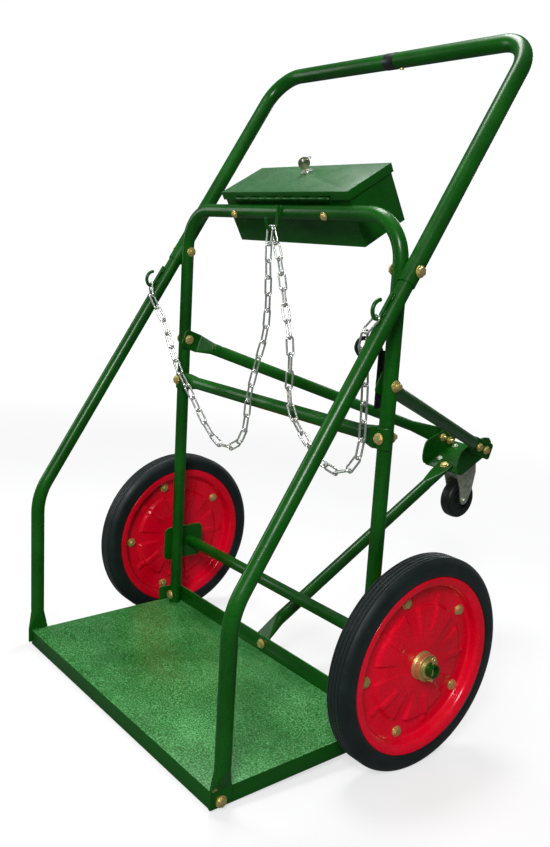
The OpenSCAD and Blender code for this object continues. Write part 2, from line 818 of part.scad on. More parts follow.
module toolbox_lid_shape() {
    depth = box_d - 2 * lid_front;
    on_box() difference() {
        translate([-lid_half, lid_front, 0]) cube([2 * lid_half, depth, lid_top]);
        translate([-lid_half + box_t, lid_front + box_t, -1])
            cube([2 * (lid_half - box_t), depth - 2 * box_t, lid_top + 1 - box_t]);
        translate([-hinge_half - 3, lid_front - 1, -1]) cube([2 * hinge_half + 6, 4, 9]);
        translate([lock_x, lock_u, 0]) cylinder(h = 30, r = 9.2);
    }
}

module lid_hinge_leaf_shape() {
    on_box() difference() {
        union() {
            knuckle_run(true);
            for (i = [1 : 2 : knuckles - 1]) translate([knuckle_x(i), lid_front - leaf_t - 0.1, hinge_m])
                cube([knuckle_len - 2 * knuckle_gap, leaf_t, 11]);
            translate([-hinge_half, lid_front - leaf_t - 0.1, 8]) cube([2 * hinge_half, leaf_t, 7]);
        }
        x_rod(-hinge_half - 1, hinge_half + 1, 1.5 + run_gap, hinge_u, hinge_m);
    }
}

module lock_body_shape() {
    on_box() translate([lock_x, lock_u, 0]) difference() {
        union() {
            translate([0, 0, lid_top + 0.1]) cylinder(h = 3, r = 12);
            translate([0, 0, 1]) cylinder(h = lid_top, r = 9);
            translate([0, 0, lid_top - box_t - 5]) cylinder(h = 4.8, r = 13, $fn = 6);
        }
        translate([0, 0, -5]) cylinder(h = 40, r = 6 + run_gap);
    }
}

// turning plug with its cam plate underneath
module lock_plug_shape() {
    on_box() translate([lock_x, lock_u, 0]) difference() {
        union() {
            translate([0, 0, -1]) cylinder(h = lid_top + 4.4, r = 6);
            translate([-4, -7, -2.5]) cube([25, 14, 2.2]);
        }
        rotate([0, 0, key_turn]) translate([-4.3, -0.9, lid_top - 8]) cube([8.6, 1.8, 20]);
    }
}

module key_shape() {
    on_box() translate([lock_x, lock_u, 0]) rotate([0, 0, key_turn]) difference() {
        union() {
            translate([-4.1, -0.8, lid_top - 7]) cube([8.2, 1.6, 16]);
            translate([0, 0.8, lid_top + 18.5]) rotate([90, 0, 0]) cylinder(h = 1.6, r = 12);
        }
        translate([0, 5, lid_top + 24.5]) rotate([90, 0, 0]) cylinder(h = 10, r = 2.6);
    }
}

module key_ring_shape() {
    on_box() translate([lock_x, lock_u, lid_top + 24.5]) rotate([0, 0, key_turn])
        translate([8.4, 0, 0]) rotate_extrude() translate([8.4, 0]) circle(r = 0.75);
}

//////////////////////////////// hooks

hook_r = 3.5;
hook_flare = 20;

module hook_center_shape() {
    y0 = leg_y - leg_r - hook_r - 0.05;
    loop_r = 12.5;
    loop_z = 961.5;
    loop_y = y0 - loop_r;
    translate([10, y0, loop_z]) {
        rod_collar(hook_r);
        translate([0, 0, slit]) cylinder(h = 34, r = hook_r);
    }
    translate([10, loop_y, loop_z]) yz_bend(loop_r, 180 + hook_flare, 180 - hook_flare) circle(r = hook_r);
    translate([10, loop_y, loop_z]) rotate([hook_flare, 0, 0]) translate([0, -loop_r, 0]) {
        rod_collar(hook_r);
        translate([0, 0, slit]) cylinder(h = 14, r = hook_r);
    }
}

side_hook_d = 531;
side_hook_r = 9;
side_hook_tip_r = 17;
side_hook_turn = 110;

// right-hand side hook: a rod welded up the front of the side tube, its end bent tightly
// forward and then in a wider curve up
module side_hook_shape() {
    translate([side_x, 0, 0]) on_slope(side_hook_d) translate([0, -side_r - hook_r - 0.05, 0]) {
        rod_collar(hook_r);
        translate([0, 0, slit]) cylinder(h = 45, r = hook_r);
        translate([0, -side_hook_r, 0]) {
            yz_bend(side_hook_r, -side_hook_turn, side_hook_turn) circle(r = hook_r);
            rotate([-side_hook_turn, 0, 0]) translate([0, side_hook_r, 0]) {
                rod_collar(hook_r);
                translate([0, -side_hook_tip_r, 0])
                    yz_bend(side_hook_tip_r, -125, 125) circle(r = hook_r);
            }
        }
    }
}

//////////////////////////////// chains

// how far the hanging links are turned about the chain
link_roll = 10;
half_straight = (link_pitch + 2 * wire_r - 2 * link_end_r) / 2;

// one chain link with its length along x, lying in the x-y plane
module chain_link() {
    for (s = [-1, 1]) {
        x_rod(-half_straight, half_straight, wire_r, s * link_end_r, 0);
        translate([s * half_straight, 0, 0]) rotate([0, 0, s > 0 ? -90 : 90])
            rotate_extrude(angle = 180) translate([link_end_r, 0]) circle(r = wire_r);
    }
}

// smooth curve from b to c, with a and d as the points before and after
function spline(a, b, c, d, t) =
    0.5 * (2 * b + (c - a) * t + (2 * a - 5 * b + 4 * c - d) * t * t
        + (3 * b - a - 3 * c + d) * t * t * t);

function smooth(p, steps = 8) = concat(
    [for (i = [0 : len(p) - 2]) for (k = [0 : steps - 1])
        spline(p[max(i - 1, 0)], p[i], p[i + 1], p[min(i + 2, len(p) - 1)], k / steps)],
    [p[len(p) - 1]]);

// first point of a path at or after number i that is a pitch or more away from a
function beyond(path, a, pitch, i) =
    i >= len(path) || norm(path[i] - a) >= pitch ? i : beyond(path, a, pitch, i + 1);

// where the straight piece from p to q leaves the sphere of one pitch about a
function reach(p, q, a, pitch) = let (
    v = q - p,
    w = p - a,
    half_b = v * w,
    t = (-half_b + sqrt(half_b * half_b - (v * v) * (w * w - pitch * pitch))) / (v * v)
) p + v * t;

// points one pitch apart along a path, where the links of the chain meet
function meets(path, pitch, a, i = 1) = let (j = beyond(path, a, pitch, i))
    j >= len(path) ? [a] : concat([a], meets(path, pitch, reach(path[j - 1], path[j], a, pitch), j));

// links threaded along a path of hand-set points, every other link turned a quarter; the
// pitch is chosen so that an odd number of links just fills the path
module chain_along(points, pitch) {
    ends = meets(smooth(points), pitch, points[0]);
    count = len(ends) - 1;
    chord = points[len(points) - 1] - points[0];
    heading = atan2(chord[1], chord[0]);
    side = [-sin(heading), cos(heading), 0];
    ahead = [cos(heading), sin(heading), 0];
    for (i = [0 : count - 1]) {
        d = (ends[i + 1] - ends[i]) / pitch;
        swing = asin(d * side);
        dip = atan2(-d[2], d * ahead);
        ease = min(1, i / 3, (count - 1 - i) / 3);
        translate((ends[i] + ends[i + 1]) / 2)
            rotate([0, 0, heading]) rotate([0, dip, 0]) rotate([0, 0, swing])
            rotate([(i % 2 == 0 ? 90 : 0) + ease * link_roll, 0, 0]) chain_link();
    }
}

left_chain_pitch = 31.745;
right_chain_pitch = 31.84;

left_chain_points = [
    [10, -79.8, 953.5], [11, -82.5, 915], [14, -83, 880], [17, -82, 835], [13, -80, 755],
    [-8, -82, 683], [-24, -84, 620], [-29, -85, 557], [-43, -86, 521.5], [-73.5, -89, 502],
    [-109.5, -93, 503.5], [-150, -99, 534],
    [-200, -105, 590], [-245, -111, 640], [-275, -115, 690], [-297, -118, 733], [-316, -126, 765],
    [-337, -130, 791], [-357.2, -121.8, 817.9]
];

right_chain_points = [
    [8, -71.8, 953.6], [24, -72, 917], [36, -73, 892], [52, -78, 862], [80, -88, 805],
    [102, -91, 750], [109, -92, 700], [111, -93, 650], [130, -95, 608],
    [175, -101, 574], [222, -109, 551], [260, -113, 539],
    [294, -114, 540.5], [320, -112, 560.5], [330, -109, 597], [330, -110, 680], [329, -114, 735],
    [328, -124, 765], [338, -130, 791], [357.2, -121.8, 817.9]
];

//////////////////////////////// strap

// rubber strap bolted flat against the right strut's lug, its upper end curling forward
strap_t = 3.4;
strap_w = 27;
strap_foot = 652;
strap_curl_w = 7;
strap_curl = [
    [-49, 745], [-60, 764], [-78, 774], [-98, 777], [-110, 773], [-115, 763], [-111, 754], [-102, 746]
];

// sideways direction at point i of a flat path
function aside(p, i) = let (d = p[min(i + 1, len(p) - 1)] - p[max(i - 1, 0)]) [-d[1], d[0]] / norm(d);

module strap_shape() {
    path = smooth(strap_curl, 4);
    last = len(path) - 1;
    difference() {
        translate([strut_x0 - 0.1 - strap_t, 0, 0]) rotate([90, 0, 90]) {
            translate([leg_y - strap_w / 2, strap_foot, 0]) cube([strap_w, 102, strap_t]);
            linear_extrude(strap_t) polygon(concat(
                [for (i = [0 : last]) path[i] + aside(path, i) * strap_curl_w / 2],
                [for (i = [last : -1 : 0]) path[i] - aside(path, i) * strap_curl_w / 2]));
        }
        x_rod(strut_x0 - 10, strut_x0 + 10, bolt_r + gap, leg_y, strut_leg_z);
    }
}

//////////////////////////////// fasteners of the frame

// bolts come in this order: side tube foot, side tube to hoop leg, upper strut to hoop leg,
// crossbar to hoop leg, hoop leg to upstand, upper strut to caster bracket, toolbox to hoop
module frame_joint_bolts() {
    both() {
        translate([plat_half + flat_t + 0.3, side_y, foot_z]) along_x() hex_bolt(18);
        translate([side_x + handle_r + 0.1, leg_y, cross_bolt_z]) along_x() hex_bolt(68);
        translate([leg_x, leg_y - leg_r - saddle_t - 0.1, cross_z]) rotate([90, 0, 0]) hex_bolt(42);
        translate([leg_x, leg_y - leg_r - 0.1, strut_foot_z]) rotate([90, 0, 0]) hex_bolt(41);
        at_strut_bolts(strut_x1 + flat_t + 0.1) along_x() hex_bolt(22);
        on_box() translate([box_bolt_x, bar_u - leg_r - 0.1, bar_m]) rotate([90, 0, 0])
            hex_bolt(41, small_bolt_r, small_head_r, small_head_h);
    }
    left() translate([strut_x0 - 0.1, leg_y, strut_leg_z]) rotate([0, -90, 0]) hex_bolt(44);
    translate([strut_x0 - strap_t - 0.2, leg_y, strut_leg_z]) rotate([0, -90, 0]) hex_bolt(44 + strap_t);
    translate([0, plat_back - 0.1, strut_foot_z]) rotate([90, 0, 0]) hex_bolt(20);
    on_caster() translate([0, head_s - caster_s, web_t + flat_t + 0.2]) hex_bolt(20);
}

// nuts, in the same order
module frame_joint_nuts() {
    both() {
        translate([plat_half - sheet - 0.1, side_y, foot_z]) rotate([0, -90, 0]) hex_nut();
        translate([leg_x - leg_r - 0.1, leg_y, cross_bolt_z]) rotate([0, -90, 0]) hex_nut();
        translate([leg_x + leg_r + 0.1, leg_y, strut_leg_z]) along_x() hex_nut();
        translate([leg_x, leg_y + leg_r + 0.1, cross_z]) rotate([-90, 0, 0]) hex_nut();
        translate([leg_x, plat_back + sheet + 0.1, strut_foot_z]) rotate([-90, 0, 0]) hex_nut();
        at_strut_bolts(web_half - web_t - 0.1) rotate([0, -90, 0]) hex_nut();
        on_box() translate([box_bolt_x, box_t + 0.1, bar_m]) rotate([-90, 0, 0])
            hex_nut(small_bolt_r, small_head_r, small_head_h);
    }
    translate([0, lower_back_y + flat_t + 0.1, strut_foot_z]) rotate([-90, 0, 0]) hex_nut();
    on_caster() translate([0, head_s - caster_s, -0.1]) rotate([180, 0, 0]) hex_nut();
}

module caster_joint_bolts() {
    on_caster() for (x = [-plate_x, plate_x]) for (s = [-plate_s, plate_s]) translate([x, s, 0]) {
        translate([0, 0, web_t + 0.1]) hex_bolt(16, small_bolt_r, small_head_r, small_head_h);
        translate([0, 0, -3.8]) rotate([180, 0, 0]) cylinder(h = small_head_h, r = small_head_r, $fn = 6);
    }
}

//////////////////////////////// joint of the two handle halves

// the black band sits between x = band_x0 and x = band_x1, over a plug inside both tubes
band_x0 = -6;
band_x1 = 22;
// distance of the locking screw from the band
screw_in = 14;

module handle_joint_band_shape() {
    difference() {
        x_rod(band_x0 + gap, band_x1 - gap, handle_r + 0.6, handle_y, handle_z);
        x_rod(band_x0 - 1, band_x1 + 1, side_r - 0.2, handle_y, handle_z);
    }
}

module handle_joint_plug_shape() {
    x_rod(band_x0 - 40, band_x1 + 40, side_r - 0.4, handle_y, handle_z);
    translate([band_x1 + screw_in, handle_y, handle_z - handle_r - 0.3]) rotate([180, 0, 0]) {
        cylinder(h = 2.4, r = 4.5);
        translate([0, 0, -handle_r]) cylinder(h = handle_r + 1, r = 2);
    }
}

//////////////////////////////// one coloured module per node

module green() color([0.07, 0.32, 0.09]) lean_cart() children();
module plated() color([0.72, 0.66, 0.38]) lean_cart() children();
module bright() color([0.75, 0.77, 0.76]) lean_cart() children();
module black() color([0.06, 0.065, 0.07]) lean_cart() children();
module red() color([0.62, 0.06, 0.05]) lean_cart() children();

module left() mirror([1, 0, 0]) children();
module both() {
    children();
    left() children();
}

module platform() green() platform_shape();
module rear_hoop() green() rear_hoop_shape();
module crossbar() green() crossbar_shape();
module side_tube_left() green() left() side_tube_shape();
module side_tube_right() green() side_tube_shape();
module handle_left() green() left() handle_shape(-band_x0, false);
module handle_right() green() handle_shape(band_x1, true);
module handle_joint_band() black() handle_joint_band_shape();
module handle_joint_plug() plated() handle_joint_plug_shape();
module axle_tube() green() axle_tube_shape();
module axle_bracket_left() green() left() axle_bracket_shape();
module axle_bracket_right() green() axle_bracket_shape();
module axle_spacers() plated() both() axle_spacer_shape();
module axle_washers() plated() both() axle_washer_shape();
module axle_split_pins() plated() both() split_pin_shape();
module strut_upper_left() green() left() strut_upper_shape();
module strut_upper_right() green() strut_upper_shape();
module strut_lower() green() strut_lower_shape();
module frame_bolts() plated() frame_joint_bolts();
module frame_nuts() plated() frame_joint_nuts();
module tyre_left() black() on_wheel(-1) tyre_shape();
module rim_outer_left() red() on_wheel(-1) rim_half();
module rim_inner_left() red() on_wheel(-1) left() rim_half();
module hub_left() plated() on_wheel(-1) hub_shape();
module wheel_bolts_left() plated() on_wheel(-1) wheel_fasteners(true);
module wheel_nuts_left() plated() on_wheel(-1) wheel_fasteners(false);
module tyre_right() black() on_wheel(1) tyre_shape();
module rim_outer_right() red() on_wheel(1) rim_half();
module rim_inner_right() red() on_wheel(1) left() rim_half();
module hub_right() plated() on_wheel(1) hub_shape();
module wheel_bolts_right() plated() on_wheel(1) wheel_fasteners(true);
module wheel_nuts_right() plated() on_wheel(1) wheel_fasteners(false);
module caster_bracket() green() caster_bracket_shape();
module caster_plate() plated() caster_plate_shape();
module caster_kingpin() plated() caster_kingpin_shape();
module caster_bolts() plated() caster_joint_bolts();
module caster_fork() plated() caster_fork_shape();
module caster_axle() plated() caster_axle_shape();
module caster_core() black() caster_core_shape();
module caster_tyre() black() caster_tyre_shape();
module toolbox_body() green() toolbox_body_shape();
module toolbox_hinge_leaf() green() toolbox_hinge_leaf_shape();
module hinge_pin() bright() hinge_pin_shape();
module toolbox_lid() green() toolbox_lid_shape();
module lid_hinge_leaf() green() lid_hinge_leaf_shape();
module lock_body() bright() lock_body_shape();
module lock_plug() bright() lock_plug_shape();
module key() bright() key_shape();
module key_ring() bright() key_ring_shape();
module hook_center() green() hook_center_shape();
module hook_left() green() left() side_hook_shape();
module hook_right() green() side_hook_shape();
module chain_left() bright() chain_along(left_chain_points, left_chain_pitch);
module chain_right() bright() chain_along(right_chain_points, right_chain_pitch);
module strap() black() strap_shape();

platform();
rear_hoop();
crossbar();
side_tube_left();
side_tube_right();
handle_left();
handle_right();
handle_joint_band();
handle_joint_plug();
axle_tube();
axle_bracket_left();
axle_bracket_right();
axle_spacers();
axle_washers();
axle_split_pins();
strut_upper_left();
strut_upper_right();
strut_lower();
frame_bolts();
frame_nuts();
tyre_left();
rim_outer_left();
rim_inner_left();
hub_left();
wheel_bolts_left();
wheel_nuts_left();
tyre_right();
rim_outer_right();
rim_inner_right();
hub_right();
wheel_bolts_right();
wheel_nuts_right();
caster_bracket();
caster_plate();
caster_kingpin();
caster_bolts();
caster_fork();
caster_axle();
caster_core();
caster_tyre();
toolbox_body();
toolbox_hinge_leaf();
hinge_pin();
toolbox_lid();
lid_hinge_leaf();
lock_body();
lock_plug();
key();
key_ring();
hook_center();
hook_left();
hook_right();
chain_left();
chain_right();
strap();
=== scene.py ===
import json
import math

import bmesh
import bpy
from mathutils import Matrix, Vector


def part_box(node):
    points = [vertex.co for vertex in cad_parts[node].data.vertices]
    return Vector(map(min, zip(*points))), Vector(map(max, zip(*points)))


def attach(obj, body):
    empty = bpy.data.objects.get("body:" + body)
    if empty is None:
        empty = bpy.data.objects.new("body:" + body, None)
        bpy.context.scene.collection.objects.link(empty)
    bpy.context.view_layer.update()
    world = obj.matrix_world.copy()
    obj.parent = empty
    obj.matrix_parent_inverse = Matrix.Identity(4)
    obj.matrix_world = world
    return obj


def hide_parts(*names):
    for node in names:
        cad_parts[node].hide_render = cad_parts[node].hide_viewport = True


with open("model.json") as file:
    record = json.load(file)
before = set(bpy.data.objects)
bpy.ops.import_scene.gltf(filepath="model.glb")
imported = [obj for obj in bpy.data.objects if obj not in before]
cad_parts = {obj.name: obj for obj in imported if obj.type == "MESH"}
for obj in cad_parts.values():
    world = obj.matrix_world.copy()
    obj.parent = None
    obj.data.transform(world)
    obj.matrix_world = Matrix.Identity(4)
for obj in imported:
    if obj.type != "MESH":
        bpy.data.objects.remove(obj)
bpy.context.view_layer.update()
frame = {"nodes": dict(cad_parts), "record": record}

MM = 0.001


# ------------------------------------------------------------------ node helpers

class Tree:
    """Short calls for building one material's node tree around its Principled shader."""

    def __init__(self, name):
        self.material = bpy.data.materials.new(name)
        self.material.use_nodes = True
        self.nodes = self.material.node_tree.nodes
        self.links = self.material.node_tree.links
        self.shader = self.nodes["Principled BSDF"]
        self.place = self.nodes.new("ShaderNodeTexCoord").outputs["Object"]

    def put(self, socket, value):
        if isinstance(value, bpy.types.NodeSocket):
            self.links.new(value, socket)
        elif isinstance(value, (tuple, list)) and len(value) == 3 and socket.type == "RGBA":
            socket.default_value = (*value, 1)
        else:
            socket.default_value = value

    def surface(self, **inputs):
        for name, value in inputs.items():
            self.put(self.shader.inputs[name.replace("_", " ")], value)

    def noise(self, size, detail=3, roughness=0.55, stretch=None):
        """Noise whose features are about size metres across, from 0 to 1."""
        node = self.nodes.new("ShaderNodeTexNoise")
        node.inputs["Scale"].default_value = 1 / size
        node.inputs["Detail"].default_value = detail
        node.inputs["Roughness"].default_value = roughness
        place = self.place
        if stretch:
            scale = self.nodes.new("ShaderNodeMapping")
            self.links.new(place, scale.inputs["Vector"])
            scale.inputs["Scale"].default_value = stretch
            place = scale.outputs["Vector"]
        self.links.new(place, node.inputs["Vector"])
        return node.outputs["Fac"]

    def cells(self, size, feature="F1"):
        """Distance from the middle of round cells about size metres across."""
        node = self.nodes.new("ShaderNodeTexVoronoi")
        node.feature = feature
        node.inputs["Scale"].default_value = 1 / size
        self.links.new(self.place, node.inputs["Vector"])
        return node.outputs["Distance"]

    def ramp(self, value, *stops):
        """Colours or greys given as (position, colour) stops."""
        node = self.nodes.new("ShaderNodeValToRGB")
        while len(node.color_ramp.elements) < len(stops):
            node.color_ramp.elements.new(0.5)
        for element, (position, colour) in zip(node.color_ramp.elements, stops):
            element.position = position
            element.color = (*colour, 1) if isinstance(colour, tuple) else (colour, colour, colour, 1)
        self.links.new(value, node.inputs["Fac"])
        return node.outputs["Color"]

    def math(self, operation, a, b=0.0, clamp=False):
        node = self.nodes.new("ShaderNodeMath")
        node.operation = operation
        node.use_clamp = clamp
        self.put(node.inputs[0], a)
        self.put(node.inputs[1], b)
        return node.outputs["Value"]

    def mix(self, share, a, b):
        node = self.nodes.new("ShaderNodeMix")
        node.data_type = "RGBA"
        self.put(node.inputs["Factor"], share)
        self.put(node.inputs["A"], a)
        self.put(node.inputs["B"], b)
        return node.outputs["Result"]

    def bump(self, height, depth, strength=1.0, under=None):
        """Bump of a height field that stands depth metres from lowest to highest."""
        node = self.nodes.new("ShaderNodeBump")
        node.inputs["Strength"].default_value = strength
        node.inputs["Distance"].default_value = depth
        self.put(node.inputs["Height"], height)
        if under is not None:
            self.links.new(under, node.inputs["Normal"])
        return node.outputs["Normal"]

    def edges(self, radius):
        """1 on edges sharper than radius metres, 0 on flat and gently curved faces."""
        bevel = self.nodes.new("ShaderNodeBevel")
        bevel.samples = 4
        bevel.inputs["Radius"].default_value = radius
        shape = self.nodes.new("ShaderNodeNewGeometry")
        dot = self.nodes.new("ShaderNodeVectorMath")
        dot.operation = "DOT_PRODUCT"
        self.links.new(bevel.outputs["Normal"], dot.inputs[0])
        self.links.new(shape.outputs["Normal"], dot.inputs[1])
        return self.math("SUBTRACT", 1.0, dot.outputs["Value"], clamp=True)

    def lit_top_face(self):
        """1 on faces that look mostly up while the piece is at rest, 0 on its sides; it picks the tops that
        get a painted sheen.
        """
        split = self.nodes.new("ShaderNodeSeparateXYZ")
        source = self.nodes.new("ShaderNodeTexCoord")
        self.links.new(source.outputs["Normal"], split.inputs["Vector"])
        return self.ramp(split.outputs["Z"], (0.55, 0.0), (0.82, 1.0))

    def facing_up(self):
        shape = self.nodes.new("ShaderNodeNewGeometry")
        split = self.nodes.new("ShaderNodeSeparateXYZ")
        self.links.new(shape.outputs["Normal"], split.inputs["Vector"])
        return self.math("MAXIMUM", split.outputs["Z"], 0.0)


# ------------------------------------------------------------------ materials

DUST = (0.30, 0.31, 0.27)
DUST_ON_RUBBER = (0.15, 0.135, 0.11)
SIDE_SHINE = 0.2


def enamel(name, colours, grain_mm, grain_depth_mm, rough, shine=0.2, speckle_share=0.5, sides=None):
    """Baked enamel: uneven colour, hammered grain, thin bright wear on its edges.

    The colours are its darkest, its middle and its lightest; sides, where given, is a darker shaded colour
    for the faces that don't look up, so the lighter colours on the faces that look up are a painted sheen.
    """
    dark, body, light = colours
    grain, grain_depth = grain_mm * MM, grain_depth_mm * MM
    t = Tree(name)
    broad = t.noise(0.16, 4)
    speckle = t.noise(grain, 2, 0.7)
    mixed = t.math("ADD", t.math("MULTIPLY", broad, 1 - speckle_share),
                   t.math("MULTIPLY", speckle, speckle_share))
    colour = t.ramp(mixed, (0.36, dark), (0.5, body), (0.66, light))
    # painted light: faces that look up keep the lighter greens as a painted sheen of the top lamp, the
    # other faces get the darker shaded side green
    if sides:
        top = t.lit_top_face()
        colour = t.mix(top, sides, colour)
        shine = t.ramp(top, (0.0, SIDE_SHINE), (1.0, shine))
    chips = t.ramp(t.noise(0.006, 3), (0.55, 0.0), (0.72, 1.0))
    wear = t.math("MULTIPLY", t.ramp(t.edges(1.2 * MM), (0.12, 0.0), (0.45, 1.0)), chips)
    colour = t.mix(t.math("MULTIPLY", wear, 0.5), colour, tuple(min(1.0, 3.2 * c + 0.03) for c in light))
    dust = t.math("MULTIPLY", t.facing_up(), t.ramp(t.noise(0.05, 5, 0.7), (0.45, 0.0), (0.8, 0.07)))
    colour = t.mix(dust, colour, DUST)
    haze = t.ramp(t.noise(0.03, 4, 0.65), (0.3, rough - 0.04), (0.75, rough + 0.08))
    orange_peel = t.bump(t.cells(grain * 1.5, "SMOOTH_F1"), grain_depth, 0.55)
    fine = t.bump(speckle, grain_depth * 0.6, 0.6, orange_peel)
    t.surface(Base_Color=colour, Roughness=haze, Normal=fine, Specular_IOR_Level=shine,
              Coat_Weight=0.1, Coat_Roughness=0.1, IOR=1.5)
    return t.material


def zinc(name, tints, rough):
    """Zinc plate: metal with drifting passivation tints, fine scratches and duller hollows."""
    t = Tree(name)
    drift = t.noise(0.012, 3, 0.6)
    colour = t.ramp(drift, *tints)
    stain = t.ramp(t.noise(0.003, 4, 0.7), (0.52, 0.0), (0.78, 0.55))
    colour = t.mix(stain, colour, tuple(c * 0.45 for c in tints[0][1]))
    scratch = t.noise(0.0011, 2, 0.5, (1, 0.18, 1))
    roughness = t.ramp(scratch, (0.3, rough - 0.08), (0.7, rough + 0.12))
    t.surface(Base_Color=colour, Metallic=0.85, Roughness=roughness, Normal=t.bump(scratch, 0.05 * MM, 0.5))
    return t.material


def rubber(name, dark, light, rough, mould_mm=1.8):
    """Moulded rubber: near black with a bluish bloom, dust in its pores and a matt grain."""
    t = Tree(name)
    bloom = t.noise(0.07, 4, 0.6)
    colour = t.ramp(bloom, (0.3, dark), (0.72, light))
    dust = t.ramp(t.noise(0.015, 5, 0.75), (0.56, 0.0), (0.85, 0.10))
    colour = t.mix(dust, colour, DUST_ON_RUBBER)
    grain = t.noise(mould_mm * MM, 3, 0.6)
    roughness = t.ramp(t.noise(0.03, 3), (0.3, rough - 0.07), (0.7, rough + 0.1))
    t.surface(Base_Color=colour, Roughness=roughness, Normal=t.bump(grain, 0.12 * MM, 0.5),
              Specular_IOR_Level=0.3, Sheen_Weight=0.04, Sheen_Roughness=0.5)
    return t.material


YELLOW_TINTS = ((0.3, (0.52, 0.50, 0.16)), (0.45, (0.82, 0.72, 0.27)), (0.6, (0.84, 0.60, 0.27)),
                (0.75, (0.68, 0.72, 0.36)))
PALE_TINTS = ((0.3, (0.42, 0.48, 0.34)), (0.5, (0.66, 0.72, 0.56)), (0.72, (0.80, 0.84, 0.74)))
OLIVE_TINTS = ((0.3, (0.10, 0.12, 0.06)), (0.5, (0.22, 0.24, 0.13)), (0.72, (0.34, 0.36, 0.24)))
WHITE_TINTS = ((0.3, (0.55, 0.58, 0.53)), (0.5, (0.78, 0.80, 0.76)), (0.72, (0.66, 0.69, 0.56)))

TUBE_GREENS = ((0.001, 0.036, 0.001), (0.002, 0.068, 0.002), (0.007, 0.116, 0.007))
# the lid's and platform's greens are the paint plus a painted sheen of the top lamp: their lightest greens,
# which the speckle reaches, are painted glints on the real grain
LID_GREENS_AND_SHEEN = ((0.006, 0.058, 0.010), (0.020, 0.105, 0.026), (0.070, 0.200, 0.085))
PLATE_GREENS_AND_SHEEN = ((0.006, 0.070, 0.008), (0.022, 0.160, 0.026), (0.140, 0.480, 0.160))
# darker shaded green painted on the lid's and platform's faces that don't look up
SHADED_SIDE_GREEN = (0.003, 0.074, 0.003)
RIM_REDS = ((0.50, 0.000, 0.008), (0.76, 0.000, 0.018), (0.88, 0.002, 0.034))

LOOKS = {
    "green_enamel": enamel("green_enamel", TUBE_GREENS, grain_mm=1.6, grain_depth_mm=0.20, rough=0.30),
    "green_lid": enamel("green_lid", LID_GREENS_AND_SHEEN, grain_mm=2.4, grain_depth_mm=0.30, rough=0.36,
                        shine=0.5, speckle_share=0.80, sides=SHADED_SIDE_GREEN),
    "green_plate": enamel("green_plate", PLATE_GREENS_AND_SHEEN, grain_mm=3.0, grain_depth_mm=0.45, rough=0.34,
                          shine=0.4, speckle_share=0.72, sides=SHADED_SIDE_GREEN),
    "red_enamel": enamel("red_enamel", RIM_REDS, grain_mm=2.4, grain_depth_mm=0.05, rough=0.20),
    "yellow_zinc": zinc("yellow_zinc", YELLOW_TINTS, 0.40),
    "pale_zinc": zinc("pale_zinc", PALE_TINTS, 0.30),
    "bright_zinc": zinc("bright_zinc", WHITE_TINTS, 0.22),
    "olive_zinc": zinc("olive_zinc", OLIVE_TINTS, 0.38),
    "tyre_rubber": rubber("tyre_rubber", (0.003, 0.007, 0.007), (0.008, 0.016, 0.016), 0.48),
    "black_rubber": rubber("black_rubber", (0.004, 0.006, 0.006), (0.010, 0.013, 0.014), 0.40),
    "black_plastic": rubber("black_plastic", (0.004, 0.008, 0.007), (0.010, 0.018, 0.016), 0.34, 0.9),
}
# nodes whose look isn't simply their material slot's
LOOK_OF_NODE = {
    "platform": "green_plate", "caster_fork": "pale_zinc", "caster_plate": "pale_zinc",
    "caster_bolts": "pale_zinc", "caster_axle": "pale_zinc", "caster_kingpin": "pale_zinc",
    "toolbox_lid": "green_lid", "key": "olive_zinc", "key_ring": "olive_zinc",
}


def slots_of_nodes():
    return {row["node"]: row["material_slot"] for row in frame["record"]["subparts"]}


def dress(piece, look):
    piece.data.materials.clear()
    piece.data.materials.append(LOOKS[look])
    for polygon in piece.data.polygons:
        polygon.material_index = 0


def dress_cad_nodes():
    for node, slot in slots_of_nodes().items():
        dress(frame["nodes"][node], LOOK_OF_NODE.get(node, slot))


# ------------------------------------------------------------------ softened edges of sheet parts

# radius in mm given to each node's edges
SOFT_EDGES = {
    "platform": 2.2, "toolbox_body": 1.6, "toolbox_lid": 1.8,
    "axle_bracket_left": 0.7, "axle_bracket_right": 0.7, "caster_bracket": 1.0, "caster_plate": 0.8,
    "caster_kingpin": 0.8, "frame_bolts": 0.6, "frame_nuts": 0.6,
    "wheel_bolts_left": 0.6, "wheel_bolts_right": 0.6, "wheel_nuts_left": 0.6, "wheel_nuts_right": 0.6,
    "caster_bolts": 0.5, "caster_axle": 0.6, "toolbox_hinge_leaf": 0.25, "lid_hinge_leaf": 0.25,
    "lock_body": 0.5, "lock_plug": 0.3, "key": 0.3, "strap": 0.9, "handle_joint_band": 0.5,
    "axle_washers": 0.5, "axle_spacers": 0.5, "axle_tube": 0.5,
}


def soften(node, width_mm):
    """Rounds a CAD node's sharp edges with modifiers, leaving its mesh as it is."""
    piece = frame["nodes"][node]
    weld = piece.modifiers.new("weld", "WELD")
    weld.merge_threshold = 0.005 * MM
    flat = piece.modifiers.new("flat_faces", "DECIMATE")
    flat.decimate_type = "DISSOLVE"
    flat.angle_limit = math.radians(0.6)
    bevel = piece.modifiers.new("round", "BEVEL")
    bevel.width = width_mm * MM
    bevel.segments = 3
    bevel.limit_method = "ANGLE"
    bevel.angle_limit = math.radians(38)
    bevel.harden_normals = False
    for polygon in piece.data.polygons:
        polygon.use_smooth = True


# tubes with flattened ends
PRESSED_TUBES = ("strut_upper_left", "strut_upper_right", "strut_lower", "crossbar")


